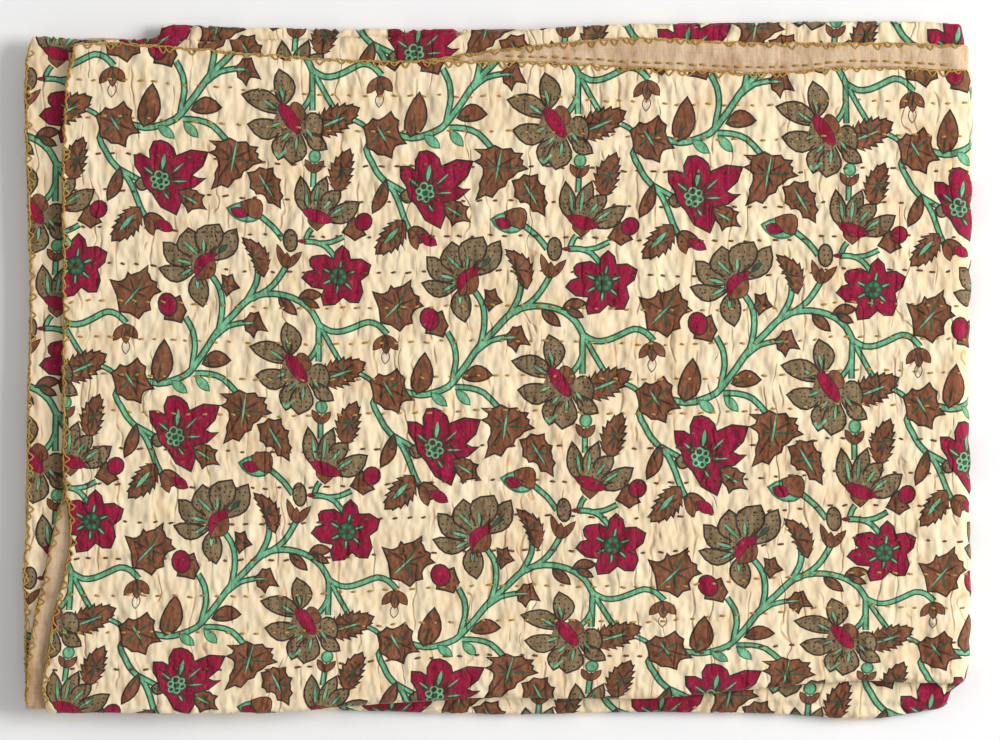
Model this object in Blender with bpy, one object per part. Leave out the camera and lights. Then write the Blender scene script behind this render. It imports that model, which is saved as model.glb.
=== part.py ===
"""A kantha quilt: two layers of cotton, quilted together and folded into a flat rectangular packet.

The open quilt is 1.27 m across and 1.78 m long. It is folded in half along its length, folded in half again, and
then folded in half across, so eight layers lie on each other. From the top down they are:

    A  print up      first quarter of the length, its hem at the back
    B  backing up    last quarter, its hem at the back
    C  print up      third quarter
    D  print down    second quarter
    --- the right-hand fold turns the same four quarters under ---
    E  print up      second quarter, below D
    F  print down    third quarter, below C
    G  print up      last quarter, below B
    H  print down    first quarter, below A, lying on the floor

Z = 0 is the floor, +X is to the right of the packet and +Y is its back edge. The origin is under its middle.
"""

import math
from collections import namedtuple

import bmesh
import bpy
import numpy as np

MM = 0.001

# --- Cloth (mm) ---
CLOTH_THICK = 1.0  # each cotton layer, with its share of the quilting
CLOTH_GAP = 0.3  # between the printed face and its backing
LAYER_PITCH = 3.0  # height from one folded layer to the next
QUILT_THICK = 2 * CLOTH_THICK + CLOTH_GAP
FACE_LIFT = (CLOTH_GAP + CLOTH_THICK) / 2  # middle of the face cloth above the middle of the quilt
PACKET_MIDDLE = 3.5 * LAYER_PITCH + QUILT_THICK / 2  # height of the middle of the right-hand fold
FLOOR_MIDDLE = CLOTH_THICK / 2  # height of the middle of the lowest cotton where it touches the floor
FLOOR_CLEAR = 0.3  # how far the underside stands clear of the floor between the packet's four corners

# --- Quilting (mm) ---
ROW_COUNT = 18  # rows on one quarter of the length
ROW_RAISE = 0.8  # height of the cotton between two rows

# --- How tall the stack stands above the cotton on the floor, as a share of its plain height ---
RISE_TO_FOLD = 0.04  # fuller at the right-hand fold than at the left hem
RISE_TO_FRONT = 0.02  # fuller at the front fold than at the back hems
Wave = namedtuple("Wave", "share length_x length_y phase")
STACK_WAVES = (
    Wave(0.022, 610.0, 900.0, 0.6),
    Wave(0.016, 480.0, -520.0, 2.1),
)

# --- Lines across the packet (mm): one row for each distance from the right-hand fold ---
AcrossRow = namedtuple("AcrossRow", "from_fold a_hem b_hem cd_fold ef_fold ad_fold eh_fold")
ACROSS = (
    AcrossRow(0, 210.0, 227.9, 242.9, 242.9, -219.8, -219.8),
    AcrossRow(10, 210.0, 228.2, 244.0, 244.3, -219.5, -225.0),
    AcrossRow(28, 211.4, 229.3, 244.7, 245.0, -219.1, -238.0),
    AcrossRow(60, 212.8, 229.6, 244.7, 245.4, -217.7, -245.7),
    AcrossRow(130, 208.6, 229.6, 242.9, 244.3, -222.6, -241.5),
    AcrossRow(220, 212.1, 233.1, 242.9, 243.3, -230.3, -240.8),
    AcrossRow(310, 216.3, 225.8, 238.7, 239.4, -229.6, -242.2),
    AcrossRow(400, 216.7, 215.6, 235.2, 239.4, -233.8, -240.1),
    AcrossRow(490, 221.9, 218.4, 232.1, 240.5, -240.5, -238.7),
    AcrossRow(560, 227.2, 222.6, 233.1, 238.7, -240.8, -238.0),
    AcrossRow(600, 229.6, 224.0, 231.7, 231.0, -240.5, -237.3),
    AcrossRow(635, 224.0, 221.2, 234.5, 224.0, -240.8, -235.9),
)
# The hems of G and H leave the lines of B and A as they come away from the right-hand fold.
G_HEM_TUCK, H_HEM_TUCK = -6.0, 4.0
TUCK_REACH = 60.0

# --- Lines along the packet (mm): one row for each place from back to front, the left hems and the fold's X ---
AlongRow = namedtuple("AlongRow", "y a_hem b_hem c_hem e_hem base_hem fold")
ALONG = (
    AlongRow(241.5, -295.0, -300.7, -320.3, -235.6, -306.0, 331.5),
    AlongRow(227.5, -296.5, -300.7, -329.4, -260.8, -309.8, 333.6),
    AlongRow(196.0, -302.8, -300.7, -331.5, -306.3, -320.3, 332.9),
    AlongRow(119.0, -304.9, -302.1, -329.7, -325.9, -324.5, 331.5),
    AlongRow(49.0, -304.2, -301.4, -328.0, -327.3, -325.2, 330.8),
    AlongRow(-21.0, -304.9, -301.4, -329.4, -328.0, -325.2, 330.1),
    AlongRow(-77.0, -303.8, -303.5, -330.1, -331.8, -324.5, 330.8),
    AlongRow(-112.0, -299.3, -311.2, -328.7, -331.8, -324.5, 331.5),
    AlongRow(-143.5, -303.5, -317.5, -329.4, -333.6, -325.2, 332.2),
    AlongRow(-164.5, -309.8, -324.1, -328.7, -327.3, -323.8, 331.5),
    AlongRow(-196.0, -315.0, -328.3, -331.5, -325.9, -323.8, 330.8),
    AlongRow(-224.0, -318.9, -330.8, -330.8, -324.5, -323.8, 328.0),
    AlongRow(-239.4, -316.1, -330.8, -330.8, -321.7, -323.8, 325.2),
)

# --- Mesh lines ---
UPPER_SPLITS = {60: 2, 130: 3, 220: 3, 310: 2, 400: 3, 490: 2}  # extra lines in the upper half, by AcrossRow
FOLD_STEPS = 6  # facets round the right-hand fold
FRONT_STEPS = 6  # facets round the outer front fold
TURN_STEPS = 4  # facets round the two tight folds
QUARTER_LINES = (0.0, 0.2, 0.42, 0.62, 0.8, 0.93, 1.0)  # shares of a quarter, from its front end
BACKING_SKIPS = 3  # the backing has one line for this many of the face's on the first quarter
SETTLE_ROUNDS = 4  # passes that settle X and Y on lines that depend on each other

PRINTED_COTTON = (0.90, 0.74, 0.52)
PLAIN_COTTON = (0.76, 0.52, 0.33)
COTTON_ROUGHNESS = 0.92

# A quarter of the length: its step up the upper half's stack, and the side its print faces (1 up, -1 down).
Quarter = namedtuple("Quarter", "step print_side")
FIRST, SECOND, THIRD, LAST = Quarter(3, 1), Quarter(0, -1), Quarter(1, 1), Quarter(2, -1)


def remove_everything():
    for obj in list(bpy.data.objects):
        bpy.data.objects.remove(obj, do_unlink=True)


def column(rows, name):
    return np.array([getattr(row, name) for row in rows], float)


def smooth_line(at, places, values):
    """Values read between the rows of a table on a curve that never overshoots them."""
    order = np.argsort(places)
    places, values = places[order], values[order]
    spans = np.diff(places)
    slopes = np.diff(values) / spans
    turning = slopes[:-1] * slopes[1:] <= 0
    inner = 2 * slopes[:-1] * slopes[1:] / np.where(turning, 1.0, slopes[:-1] + slopes[1:])
    tangents = np.concatenate([slopes[:1], np.where(turning, 0.0, inner), slopes[-1:]])
    at = np.clip(at, places[0], places[-1])
    cell = np.clip(np.searchsorted(places, at, side="right") - 1, 0, len(spans) - 1)
    share = (at - places[cell]) / spans[cell]
    rise = share * share * (3 - 2 * share)
    leave = share * (1 - share) ** 2 * tangents[cell]
    arrive = share * share * (share - 1) * tangents[cell + 1]
    return values[cell] + (values[cell + 1] - values[cell]) * rise + (leave + arrive) * spans[cell]


def across_line(name, x):
    """Y of a hem or fold that runs across the packet, at X."""
    return smooth_line(fold_axis(0.0) - x, column(ACROSS, "from_fold"), column(ACROSS, name))


def along_line(name, y):
    """X of a hem or fold that runs along the packet, at Y."""
    return smooth_line(y, column(ALONG, "y"), column(ALONG, name))


def fold_axis(y):
    """X of the line that the right-hand fold turns about. A, outermost, reaches the table's line."""
    outer_reach = 3.5 * LAYER_PITCH + QUILT_THICK / 2
    return along_line("fold", y) - outer_reach


def tuck(x):
    """0 at the right-hand fold, growing to 1 away from it."""
    return np.clip((fold_axis(0.0) - x) / TUCK_REACH, 0.0, 1.0)


def back_line(quarter, lower, x):
    """Y where a quarter ends at the back: the hem, or the middle of the tight back fold."""
    if quarter is FIRST:
        return across_line("a_hem", x) + lower * H_HEM_TUCK * tuck(x)
    if quarter is LAST:
        return across_line("b_hem", x) + lower * G_HEM_TUCK * tuck(x)
    edge = (1 - lower) * across_line("cd_fold", x) + lower * across_line("ef_fold", x)
    return edge - LAYER_PITCH / 2 - QUILT_THICK / 2


def front_line(lower, x):
    """Y of the middle of the two nested front folds."""
    edge = (1 - lower) * across_line("ad_fold", x) + lower * across_line("eh_fold", x)
    return edge + 1.5 * LAYER_PITCH + QUILT_THICK / 2


def left_line(quarter, lower, y, share):
    """X of a quarter's left hem. share is how far back it is, since D joins A in front and C at the back."""
    hem_a, hem_c, hem_e, base = (along_line(name, y) for name in ("a_hem", "c_hem", "e_hem", "base_hem"))
    upper_hem = {
        FIRST: hem_a,
        SECOND: hem_a + (hem_c - hem_a) * share,
        THIRD: hem_c,
        LAST: along_line("b_hem", y),
    }[quarter]
    lower_hem = {
        FIRST: hem_e + (base - hem_e) * share,
        SECOND: hem_e,
        THIRD: base + (hem_e - base) * share,
        LAST: base,
    }[quarter]
    return upper_hem + (lower_hem - upper_hem) * lower


def floor_lift(x, y):
    """How far the packet stands clear of the floor: it rests on its four corners."""
    across, along = x / column(ALONG, "fold").max(), y / column(ALONG, "y").max()
    return FLOOR_CLEAR * (1 - np.abs(across * along))


def stack_share(x, y):
    """How tall the stack stands above the cotton on the floor at a place, as a share of its plain height."""
    share = 1 + RISE_TO_FOLD * x / column(ALONG, "fold").max() - RISE_TO_FRONT * y / column(ALONG, "y").max()
    for wave in STACK_WAVES:
        turn = math.tau * (x / wave.length_x + y / wave.length_y) + wave.phase
        share = share + wave.share * np.sin(turn)
    return share


def quarter_stations(quarter, shares):
    """Lengthwise stations along a flat quarter. share is 0 at its front end and 1 at its back."""
    return [dict(quarter=quarter, other=quarter, share=share, mix=0.0, turn=None) for share in shares]


def turn_stations(quarter, other, steps, at_back, inward):
    """Lengthwise stations round the fold between two quarters, without its two ends."""
    return [
        dict(
            quarter=quarter,
            other=other,
            share=float(at_back),
            mix=step / steps,
            turn=(math.pi * step / steps, 1 if at_back else -1, -1 if inward else 1),
        )
        for step in range(1, steps)
    ]


def length_stations(first_lines):
    """All stations from the hem of the first quarter to the hem of the last."""
    to_back = list(QUARTER_LINES)
    to_front = to_back[::-1]
    return (
        quarter_stations(FIRST, first_lines[::-1])
        + turn_stations(FIRST, SECOND, FRONT_STEPS, at_back=False, inward=False)
        + quarter_stations(SECOND, to_back)
        + turn_stations(SECOND, THIRD, TURN_STEPS, at_back=True, inward=False)
        + quarter_stations(THIRD, to_front)
        + turn_stations(THIRD, LAST, TURN_STEPS, at_back=False, inward=True)
        + quarter_stations(LAST, to_back)
    )


def width_stations():
    """Widthwise stations, from the upper left hem round to the lower one, as three arrays: the share of the way from
    the hem to the right-hand fold, 0 in the upper half and 1 in the lower one, and the turn of the fold."""
    places = column(ACROSS, "from_fold")
    fine = []
    for near, far in zip(places[:-1], places[1:]):
        fine += list(np.linspace(near, far, UPPER_SPLITS.get(int(near), 1) + 1)[:-1])
    upper = 1 - np.array([*fine, places[-1]])[::-1] / places[-1]
    bend = np.arange(1, FOLD_STEPS) / FOLD_STEPS
    lower = 1 - places / places[-1]
    share = np.concatenate([upper, np.ones(len(bend)), lower])
    half = np.concatenate([np.zeros(len(upper)), bend, np.ones(len(lower))])
    return share, half, math.pi * half


def section_points(station, lower, x, lift):
    """(Y, height in the folded stack) along a station, lift away from the middle of the quilt towards its print."""
    quarter, other = station["quarter"], station["other"]
    if station["turn"] is None:
        front, back = front_line(lower, x), back_line(quarter, lower, x)
        height = LAYER_PITCH * quarter.step + lift * quarter.print_side
        return front + (back - front) * station["share"], height
    angle, way, outward = station["turn"]
    middle = back_line(quarter, lower, x) if way > 0 else front_line(lower, x)
    radius = LAYER_PITCH * abs(quarter.step - other.step) / 2 + lift * outward
    up = math.copysign(1.0, quarter.step - other.step)
    centre = LAYER_PITCH * (quarter.step + other.step) / 2
    return middle + way * radius * math.sin(angle), centre + up * radius * math.cos(angle)


def quilt_points(station, places, lift):
    """Where one lengthwise station of the folded quilt lies, in mm: a row of points from hem to hem."""
    share_across, lower, fold_turn = places
    x = fold_axis(0.0) - (1 - share_across) * column(ACROSS, "from_fold")[-1]
    for _ in range(SETTLE_ROUNDS):
        y, height = section_points(station, lower, x, lift)
        own = left_line(station["quarter"], lower, y, station["share"])
        hem = own + (left_line(station["other"], lower, y, station["share"]) - own) * station["mix"]
        x = hem + (fold_axis(y) - hem) * share_across
    radius = LAYER_PITCH / 2 + height
    x = x + radius * np.sin(fold_turn)
    above_floor = PACKET_MIDDLE + radius * np.cos(fold_turn) - FLOOR_MIDDLE
    z = FLOOR_MIDDLE + floor_lift(x, y) + above_floor * stack_share(x, y)
    return np.stack([x, y, z], axis=1)


def row_raise(station, places):
    """Height of the top quarter's cotton between its stitch rows: none at a row, at the hem or in the fold."""
    share_across, lower, _ = places
    if station["quarter"] is not FIRST or station["turn"] is not None:
        return np.zeros(len(lower))
    free = (lower == 0) & (share_across > 0) & (share_across < 1)
    return ROW_RAISE * math.sin(math.pi * station["share"] * ROW_COUNT) ** 2 * free


def cloth(name, lift, first_lines, raised, material):
    """One cotton layer of the quilt: a grid laid along the folds, then thickened evenly."""
    lengths, places = length_stations(first_lines), width_stations()
    points = np.array([quilt_points(station, places, lift) for station in lengths])
    if raised:
        points[:, :, 2] += [row_raise(station, places) for station in lengths]
    last_row, last_column = points.shape[0] - 1, points.shape[1] - 1
    mesh = bpy.data.meshes.new(name)
    grid = bmesh.new()
    bmesh.ops.create_grid(grid, x_segments=last_column, y_segments=last_row, size=0.5)
    for vert in grid.verts:
        row, across = round((0.5 - vert.co.y) * last_row), round((0.5 + vert.co.x) * last_column)
        vert.co = points[row, across] * MM
    grid.to_mesh(mesh)
    grid.free()
    mesh.shade_smooth()
    mesh.materials.append(material)
    obj = bpy.data.objects.new(name, mesh)
    bpy.context.scene.collection.objects.link(obj)
    thicken = obj.modifiers.new("Cotton thickness", "SOLIDIFY")
    thicken.thickness = CLOTH_THICK * MM
    thicken.offset = 0.0
    return obj


def cotton(name, colour):
    material = bpy.data.materials.new(name)
    material.use_nodes = True
    shader = material.node_tree.nodes["Principled BSDF"]
    shader.inputs["Base Color"].default_value = (*colour, 1.0)
    shader.inputs["Roughness"].default_value = COTTON_ROUGHNESS
    shader.inputs["Metallic"].default_value = 0.0
    return material


def stand_on_origin(objects):
    """Moves the quilt so that the origin is under the middle of its box, on the floor."""
    bpy.context.view_layer.update()
    graph = bpy.context.evaluated_depsgraph_get()
    corners = []
    for obj in objects:
        evaluated = obj.evaluated_get(graph)
        mesh = evaluated.to_mesh()
        points = np.array([vert.co for vert in mesh.vertices])
        corners += [points.min(axis=0), points.max(axis=0)]
        evaluated.to_mesh_clear()
    low, high = np.min(corners, axis=0), np.max(corners, axis=0)
    shift = np.array([-(low[0] + high[0]) / 2, -(low[1] + high[1]) / 2, -low[2]])
    for obj in objects:
        for vert in obj.data.vertices:
            vert.co = np.array(vert.co) + shift


def main():
    remove_everything()
    half_rows = np.linspace(0.0, 1.0, 2 * ROW_COUNT + 1)
    face = cloth("face_cloth", FACE_LIFT, half_rows, True, cotton("printed_cotton", PRINTED_COTTON))
    few_rows = half_rows[::BACKING_SKIPS]
    backing = cloth("backing_cloth", -FACE_LIFT, few_rows, False, cotton("plain_cotton", PLAIN_COTTON))
    stand_on_origin([face, backing])


main()
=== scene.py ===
"""Dresses the folded kantha quilt: printed and plain cotton, running stitches and gold stitching on the hems.

The quilt lies on the same folds as its solids. Eight layers lie on each other, named from the top down:

    A  print up      first quarter of the length     (upper half of the packet)
    B  backing up    last quarter
    C  print up      third quarter
    D  print down    second quarter
    E  print up      second quarter                   (lower half, turned under at the right-hand fold)
    F  print down    third quarter
    G  print up      last quarter
    H  print down    first quarter

A layer is laid out flat first: u runs along X and goes on round the right-hand fold, and v runs along Y and goes on
round a fold at the front or back. Both are in mm, as all lengths here are unless a name says otherwise.
"""

import math
from collections import namedtuple

import bpy
import numpy as np
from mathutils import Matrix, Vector
from mathutils.geometry import delaunay_2d_cdt


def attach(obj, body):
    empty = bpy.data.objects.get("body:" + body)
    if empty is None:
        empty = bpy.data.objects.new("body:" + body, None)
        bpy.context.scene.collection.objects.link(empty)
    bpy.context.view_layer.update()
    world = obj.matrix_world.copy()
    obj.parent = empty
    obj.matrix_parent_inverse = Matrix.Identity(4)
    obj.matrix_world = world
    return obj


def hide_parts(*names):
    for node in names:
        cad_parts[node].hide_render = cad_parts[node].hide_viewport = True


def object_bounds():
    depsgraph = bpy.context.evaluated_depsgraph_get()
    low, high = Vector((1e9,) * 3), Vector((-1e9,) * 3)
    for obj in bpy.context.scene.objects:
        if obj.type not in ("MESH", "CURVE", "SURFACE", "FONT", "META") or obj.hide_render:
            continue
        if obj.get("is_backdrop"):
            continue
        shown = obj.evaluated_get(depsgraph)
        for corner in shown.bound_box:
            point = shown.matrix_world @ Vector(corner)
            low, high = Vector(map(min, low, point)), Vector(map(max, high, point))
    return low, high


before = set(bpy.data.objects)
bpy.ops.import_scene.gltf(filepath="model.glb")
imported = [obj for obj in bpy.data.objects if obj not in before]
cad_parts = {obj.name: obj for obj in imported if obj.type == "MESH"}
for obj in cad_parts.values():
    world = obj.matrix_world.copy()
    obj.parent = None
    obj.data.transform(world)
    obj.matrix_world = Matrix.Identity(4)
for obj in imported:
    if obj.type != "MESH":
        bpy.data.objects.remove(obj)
CAD_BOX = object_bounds()

MM = 0.001

# --- Cloth and folds (mm), as the solids have them ---
CLOTH_THICK = 1.0
CLOTH_GAP = 0.3
LAYER_PITCH = 3.0
HALF_STACK = 3.5 * LAYER_PITCH  # from the top layer to the packet's middle
QUILT_THICK = 2 * CLOTH_THICK + CLOTH_GAP
PACKET_MIDDLE = HALF_STACK + QUILT_THICK / 2
FLOOR_MIDDLE = CLOTH_THICK / 2
FLOOR_CLEAR = 0.3  # how far the packet's middle is off the floor
ROW_COUNT = 18  # gaps between rows of stitches across a quarter
RISE_TO_FOLD, RISE_TO_FRONT = 0.04, 0.02  # how much more the stack rises there, as a share
Wave = namedtuple("Wave", "share length_x length_y phase")
STACK_WAVES = (
    Wave(0.022, 610.0, 900.0, 0.6),
    Wave(0.016, 480.0, -520.0, 2.1),
)
# Y of the hems and folds that run across the packet, by the distance from the right-hand fold.
AcrossRow = namedtuple("AcrossRow", "from_fold a_hem b_hem cd_fold ef_fold ad_fold eh_fold")
ACROSS = [AcrossRow(*row) for row in (
    (0, 210.0, 227.9, 242.9, 242.9, -219.8, -219.8),
    (2.0, 210.0, 228.0, 243.2, 243.3, -219.7, -220.3),
    (5.0, 210.0, 228.1, 243.5, 243.7, -219.6, -237.2),
    (28, 211.4, 229.3, 244.7, 245.0, -219.1, -241.6),
    (60, 212.8, 229.6, 244.7, 245.4, -217.7, -245.7),
    (130, 208.6, 229.6, 242.9, 244.3, -222.6, -241.5),
    (220, 212.1, 233.1, 242.9, 243.3, -230.3, -240.8),
    (310, 216.3, 225.8, 238.7, 239.4, -229.6, -242.2),
    (400, 216.7, 215.6, 235.2, 239.4, -233.8, -240.1),
    (490, 221.9, 218.4, 232.1, 240.5, -240.5, -238.7),
    (554, 226.9, 222.3, 233.0, 242.9, -240.8, -238.1),
    (557, 227.1, 222.5, 233.1, 233.8, -240.8, -238.0),
    (600, 229.6, 224.0, 231.7, 231.0, -240.5, -237.3),
    (635, 224.0, 221.2, 234.5, 224.0, -240.8, -235.9),
)]
G_HEM_TUCK, H_HEM_TUCK = -6.0, 4.0  # how far these hems at the back lie off those of B and A
TUCK_REACH = 60.0  # the distance from the fold over which they come to do so
# X of the hems and folds that run along the packet, by Y.
AlongRow = namedtuple("AlongRow", "y a_hem b_hem c_hem e_hem base_hem fold")
ALONG = [AlongRow(*row) for row in (
    (241.5, -295.0, -300.7, -320.3, -235.6, -306.0, 331.5),
    (234.0, -295.6, -300.7, -325.5, -238.0, -307.8, 332.9),
    (227.5, -296.5, -300.7, -329.4, -252.8, -309.8, 333.6),
    (196.0, -302.8, -300.7, -331.5, -306.3, -320.3, 332.9),
    (119.0, -304.9, -302.1, -329.7, -325.9, -324.5, 331.5),
    (49.0, -304.2, -301.4, -328.0, -327.3, -325.2, 330.8),
    (-21.0, -304.9, -301.4, -329.4, -328.0, -325.2, 330.1),
    (-77.0, -303.8, -303.5, -330.1, -331.8, -324.5, 330.8),
    (-112.0, -299.3, -311.2, -330.2, -331.8, -324.5, 331.5),
    (-143.5, -303.5, -317.5, -332.6, -333.6, -325.2, 332.2),
    (-164.5, -309.8, -323.1, -331.2, -327.3, -323.8, 331.5),
    (-196.0, -315.0, -328.3, -331.5, -325.9, -323.8, 330.8),
    (-224.0, -318.9, -330.8, -330.8, -324.5, -323.8, 328.0),
    (-239.4, -316.1, -330.8, -330.8, -321.7, -323.8, 325.2),
)]
SETTLE_ROUNDS = 4  # rounds of a fixed-point search
Quarter = namedtuple("Quarter", "step print_side")
FIRST, SECOND, THIRD, LAST = Quarter(3, 1), Quarter(0, -1), Quarter(1, 1), Quarter(2, -1)

# --- Surfaces of the soft quilt, measured from the middle of its thickness (mm) ---
FACE_LIFT = 1.05
HEM_ROUND = 1.6  # how far in from a hem the two cottons part
PILLOW = 1.0  # rise of the top layer between two rows of stitches
CRINKLE = 0.64  # puckers that run from row to row
PINCH = 0.5  # depth to which a stitch pulls the cotton down
SWELL = 0.5  # slow unevenness of the top layer
QUIET = 0.25  # share of the unevenness that a pressed inner layer keeps

# --- Running stitches (mm) ---
STITCH_PITCH, STITCH_LENGTH, STITCH_RADIUS = 10.5, 3.9, 0.78
STRIP_STITCH_PITCH, STRIP_STITCH_LENGTH, FROM_TOP_HEM = 8.0, 5.4, 3.8  # those on the tan strip
STITCH_ROW_GAP = 24.3
OCHRE_ROWS = (2, 3, 8, 9, 10, 11, 16, 17)  # the other rows are brown; row 1 is the nearest to the front
STRIP_STITCHES_FROM = 6.0  # u at which the tan strip is wide enough to show its stitches
PINCH_REACH = 4.5  # how far from its row a stitch still pulls the cotton down

# --- Gathered hems, turns and creases (mm) ---
GATHER_PITCH = 13.4
GATHER_FADE = 13.0  # how far in from the hem its gathers die out
SCALLOP = 1.4  # how far a gather pulls the hem in
TURN_FADE = 0.03  # share of a quarter over which the unevenness dies out past the front fold
FRONT_CREASE = -233.0  # Y of the crease along the strip at the front
CREASE_DEPTH, CREASE_SHARP, CREASE_WIDE = 2.8, 1.4, 13.0

# --- Unevenness as noise: cell along X and Y in mm, seed (each hem has its own) ---
LEAN, LEAN_REACH = (60.0, 40.0, 3), 7.0
PUCKER = (7.5, 24.0, 5)
FINE_PUCKER, FINE_SHARE = (4.4, 13.0, 8), 0.35
PLEAT = (14.0, 60.0, 13)
SLOW_SWELL = (90.0, 60.0, 21)
CREASE_STRAY = (60.0, 500.0, 33)
GATHERED = (9.0, 9.0, 23)
HEM_STRAY, HEM_REACH = (6.0, 1.0), 0.6
GATHER_STRAY, STRAY_REACH = (32.0, 1.0, 17), 5.0

# --- Chart of the print, in chart units, Y down ---
CHART_UNIT = 0.7  # mm
CHART_MIDDLE = (497.5, 370.0)  # the chart's point over the packet's origin
REPEAT_WIDE, REPEAT_HIGH = 270, 250
REPEAT_ROWS, REPEAT_COLUMNS = range(-3, 4), range(-3, 7)  # enough for every layer
LINE, THIN_LINE = 1.9, 1.0  # widths of a drawn outline
INKS = {  # sRGB
    "outline": (60, 54, 46),
    "crimson": (170, 18, 66),
    "brown": (144, 90, 60),
    "umber": (76, 60, 46),
    "olive": (142, 122, 90),
    "mint": (120, 192, 148),
    "fern": (70, 128, 94),
    "moss": (54, 92, 70),
    "cream": (250, 232, 200),
}
GROUND = (247, 228, 192)
INK_NAMES = list(INKS)
NO_INK = len(INKS)  # stands for the bare ground after the inks' numbers

# --- Meshes ---
WELD = 0.002  # mm: points of two patches that are nearer than this are one
UV_MARGIN = 0.02  # share of the UV square left free round each patch


def column(rows, name):
    return np.array([getattr(row, name) for row in rows], float)


# ---------------------------------------------------------------- folds


def smooth_line(at, places, values):
    """Values read between the rows of a table on a curve that never overshoots them."""
    order = np.argsort(places)
    places, values = places[order], values[order]
    spans = np.diff(places)
    slopes = np.diff(values) / spans
    turning = slopes[:-1] * slopes[1:] <= 0
    inner = 2 * slopes[:-1] * slopes[1:] / np.where(turning, 1.0, slopes[:-1] + slopes[1:])
    tangents = np.concatenate([slopes[:1], np.where(turning, 0.0, inner), slopes[-1:]])
    at = np.clip(at, places[0], places[-1])
    cell = np.clip(np.searchsorted(places, at, side="right") - 1, 0, len(spans) - 1)
    share = (at - places[cell]) / spans[cell]
    rise = share * share * (3 - 2 * share)
    leave = share * (1 - share) ** 2 * tangents[cell]
    arrive = share * share * (share - 1) * tangents[cell + 1]
    return values[cell] + (values[cell + 1] - values[cell]) * rise + (leave + arrive) * spans[cell]


def across_line(name, x):
    """Y of a hem or fold that runs across the packet, at X."""
    return smooth_line(fold_axis(0.0) - x, column(ACROSS, "from_fold"), column(ACROSS, name))


def along_line(name, y):
    """X of a hem or fold that runs along the packet, at Y."""
    return smooth_line(y, column(ALONG, "y"), column(ALONG, name))


def fold_axis(y):
    """X at which the layers start to turn round the right-hand fold."""
    return along_line("fold", y) - HALF_STACK - QUILT_THICK / 2


def tuck(x):
    """0 at the right-hand fold, 1 beyond the reach of the tuck."""
    return np.clip((fold_axis(0.0) - x) / TUCK_REACH, 0.0, 1.0)


def back_line(quarter, lower, x):
    """Y of a layer's hem at the back, or of the middle of its fold there."""
    if quarter is FIRST:
        return across_line("a_hem", x) + lower * H_HEM_TUCK * tuck(x) + (1 - lower) * hem_wave(x, 51)
    if quarter is LAST:
        scallop = (1 - lower) * SCALLOP * (1 - puffed(x))
        return across_line("b_hem", x) + lower * G_HEM_TUCK * tuck(x) - scallop
    edge = (1 - lower) * across_line("cd_fold", x) + lower * across_line("ef_fold", x)
    return edge - LAYER_PITCH / 2 - QUILT_THICK / 2


def front_line(lower, x):
    """Y of the middle of the fold at the front."""
    edge = (1 - lower) * across_line("ad_fold", x) + lower * across_line("eh_fold", x)
    return edge + 1.5 * LAYER_PITCH + QUILT_THICK / 2


def left_line(quarter, lower, y, share):
    """X of a layer's left hem. share is the place between the front and the back end."""
    hem_a, hem_c, hem_e, base = (along_line(name, y) for name in ("a_hem", "c_hem", "e_hem", "base_hem"))
    upper_hem = {
        FIRST: hem_a + hem_wave(y, 52),
        SECOND: hem_a + (hem_c - hem_a) * share,
        THIRD: hem_c + hem_wave(y, 53),
        LAST: along_line("b_hem", y) + SCALLOP * (1 - puffed(y)),
    }[quarter]
    lower_hem = {
        FIRST: hem_e + (base - hem_e) * share,
        SECOND: hem_e,
        THIRD: base + (hem_e - base) * share,
        LAST: base,
    }[quarter]
    return upper_hem + (lower_hem - upper_hem) * lower


def stack_share(x, y):
    """Height of the stack as a share of its plain height."""
    share = 1 + RISE_TO_FOLD * x / column(ALONG, "fold").max() - RISE_TO_FRONT * y / column(ALONG, "y").max()
    for wave in STACK_WAVES:
        share = share + wave.share * np.sin(math.tau * (x / wave.length_x + y / wave.length_y) + wave.phase)
    return share


def floor_lift(x, y):
    """How far the lowest layer is off the floor: it lies on it with its corners."""
    across, along = x / column(ALONG, "fold").max(), y / column(ALONG, "y").max()
    return FLOOR_CLEAR * (1 - np.abs(across * along))


# ---------------------------------------------------------------- layers

# A fold that a layer owns: the quarter on its other side, and whether the print is on the fold's outside.
Turn = namedtuple("Turn", "other print_outside")
# One of the eight layers. lower is 0 in the upper half and 1 in the lower one. fold_share is how much of the
# right-hand fold belongs to the upper half's layer.
Layer = namedtuple("Layer", "quarter lower front_turn back_turn fold_share unevenness")
LAYERS = {
    "A": Layer(FIRST, 0, Turn(SECOND, True), None, 0.8, 1.0),
    "B": Layer(LAST, 0, None, None, 0.5, 0.7),
    "C": Layer(THIRD, 0, Turn(LAST, False), Turn(SECOND, True), 0.5, QUIET),
    "D": Layer(SECOND, 0, None, None, 0.5, QUIET),
    "E": Layer(SECOND, 1, Turn(FIRST, True), Turn(THIRD, True), 0.5, 0.5),
    "F": Layer(THIRD, 1, Turn(LAST, False), None, 0.5, QUIET),
    "G": Layer(LAST, 1, None, None, 0.5, QUIET),
    "H": Layer(FIRST, 1, None, None, 0.8, 0.0),
}


def fold_radius(layer):
    return LAYER_PITCH * (layer.quarter.step + 0.5)


def turned(layer, turn, lift, reach):
    """(distance beyond the fold's middle, height in the stack) of points that lie reach round a front or back fold."""
    step, other = layer.quarter.step, turn.other.step
    radius = LAYER_PITCH * abs(step - other) / 2
    angle = reach / radius
    outer = radius + (lift if turn.print_outside else -lift)
    way = 1 if step > other else -1
    return outer * np.sin(angle), LAYER_PITCH * (step + other) / 2 + way * outer * np.cos(angle)


def turn_reach(layer, turn):
    """Length of the half circle round a front or back fold."""
    return np.pi * LAYER_PITCH * abs(layer.quarter.step - turn.other.step) / 2


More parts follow.
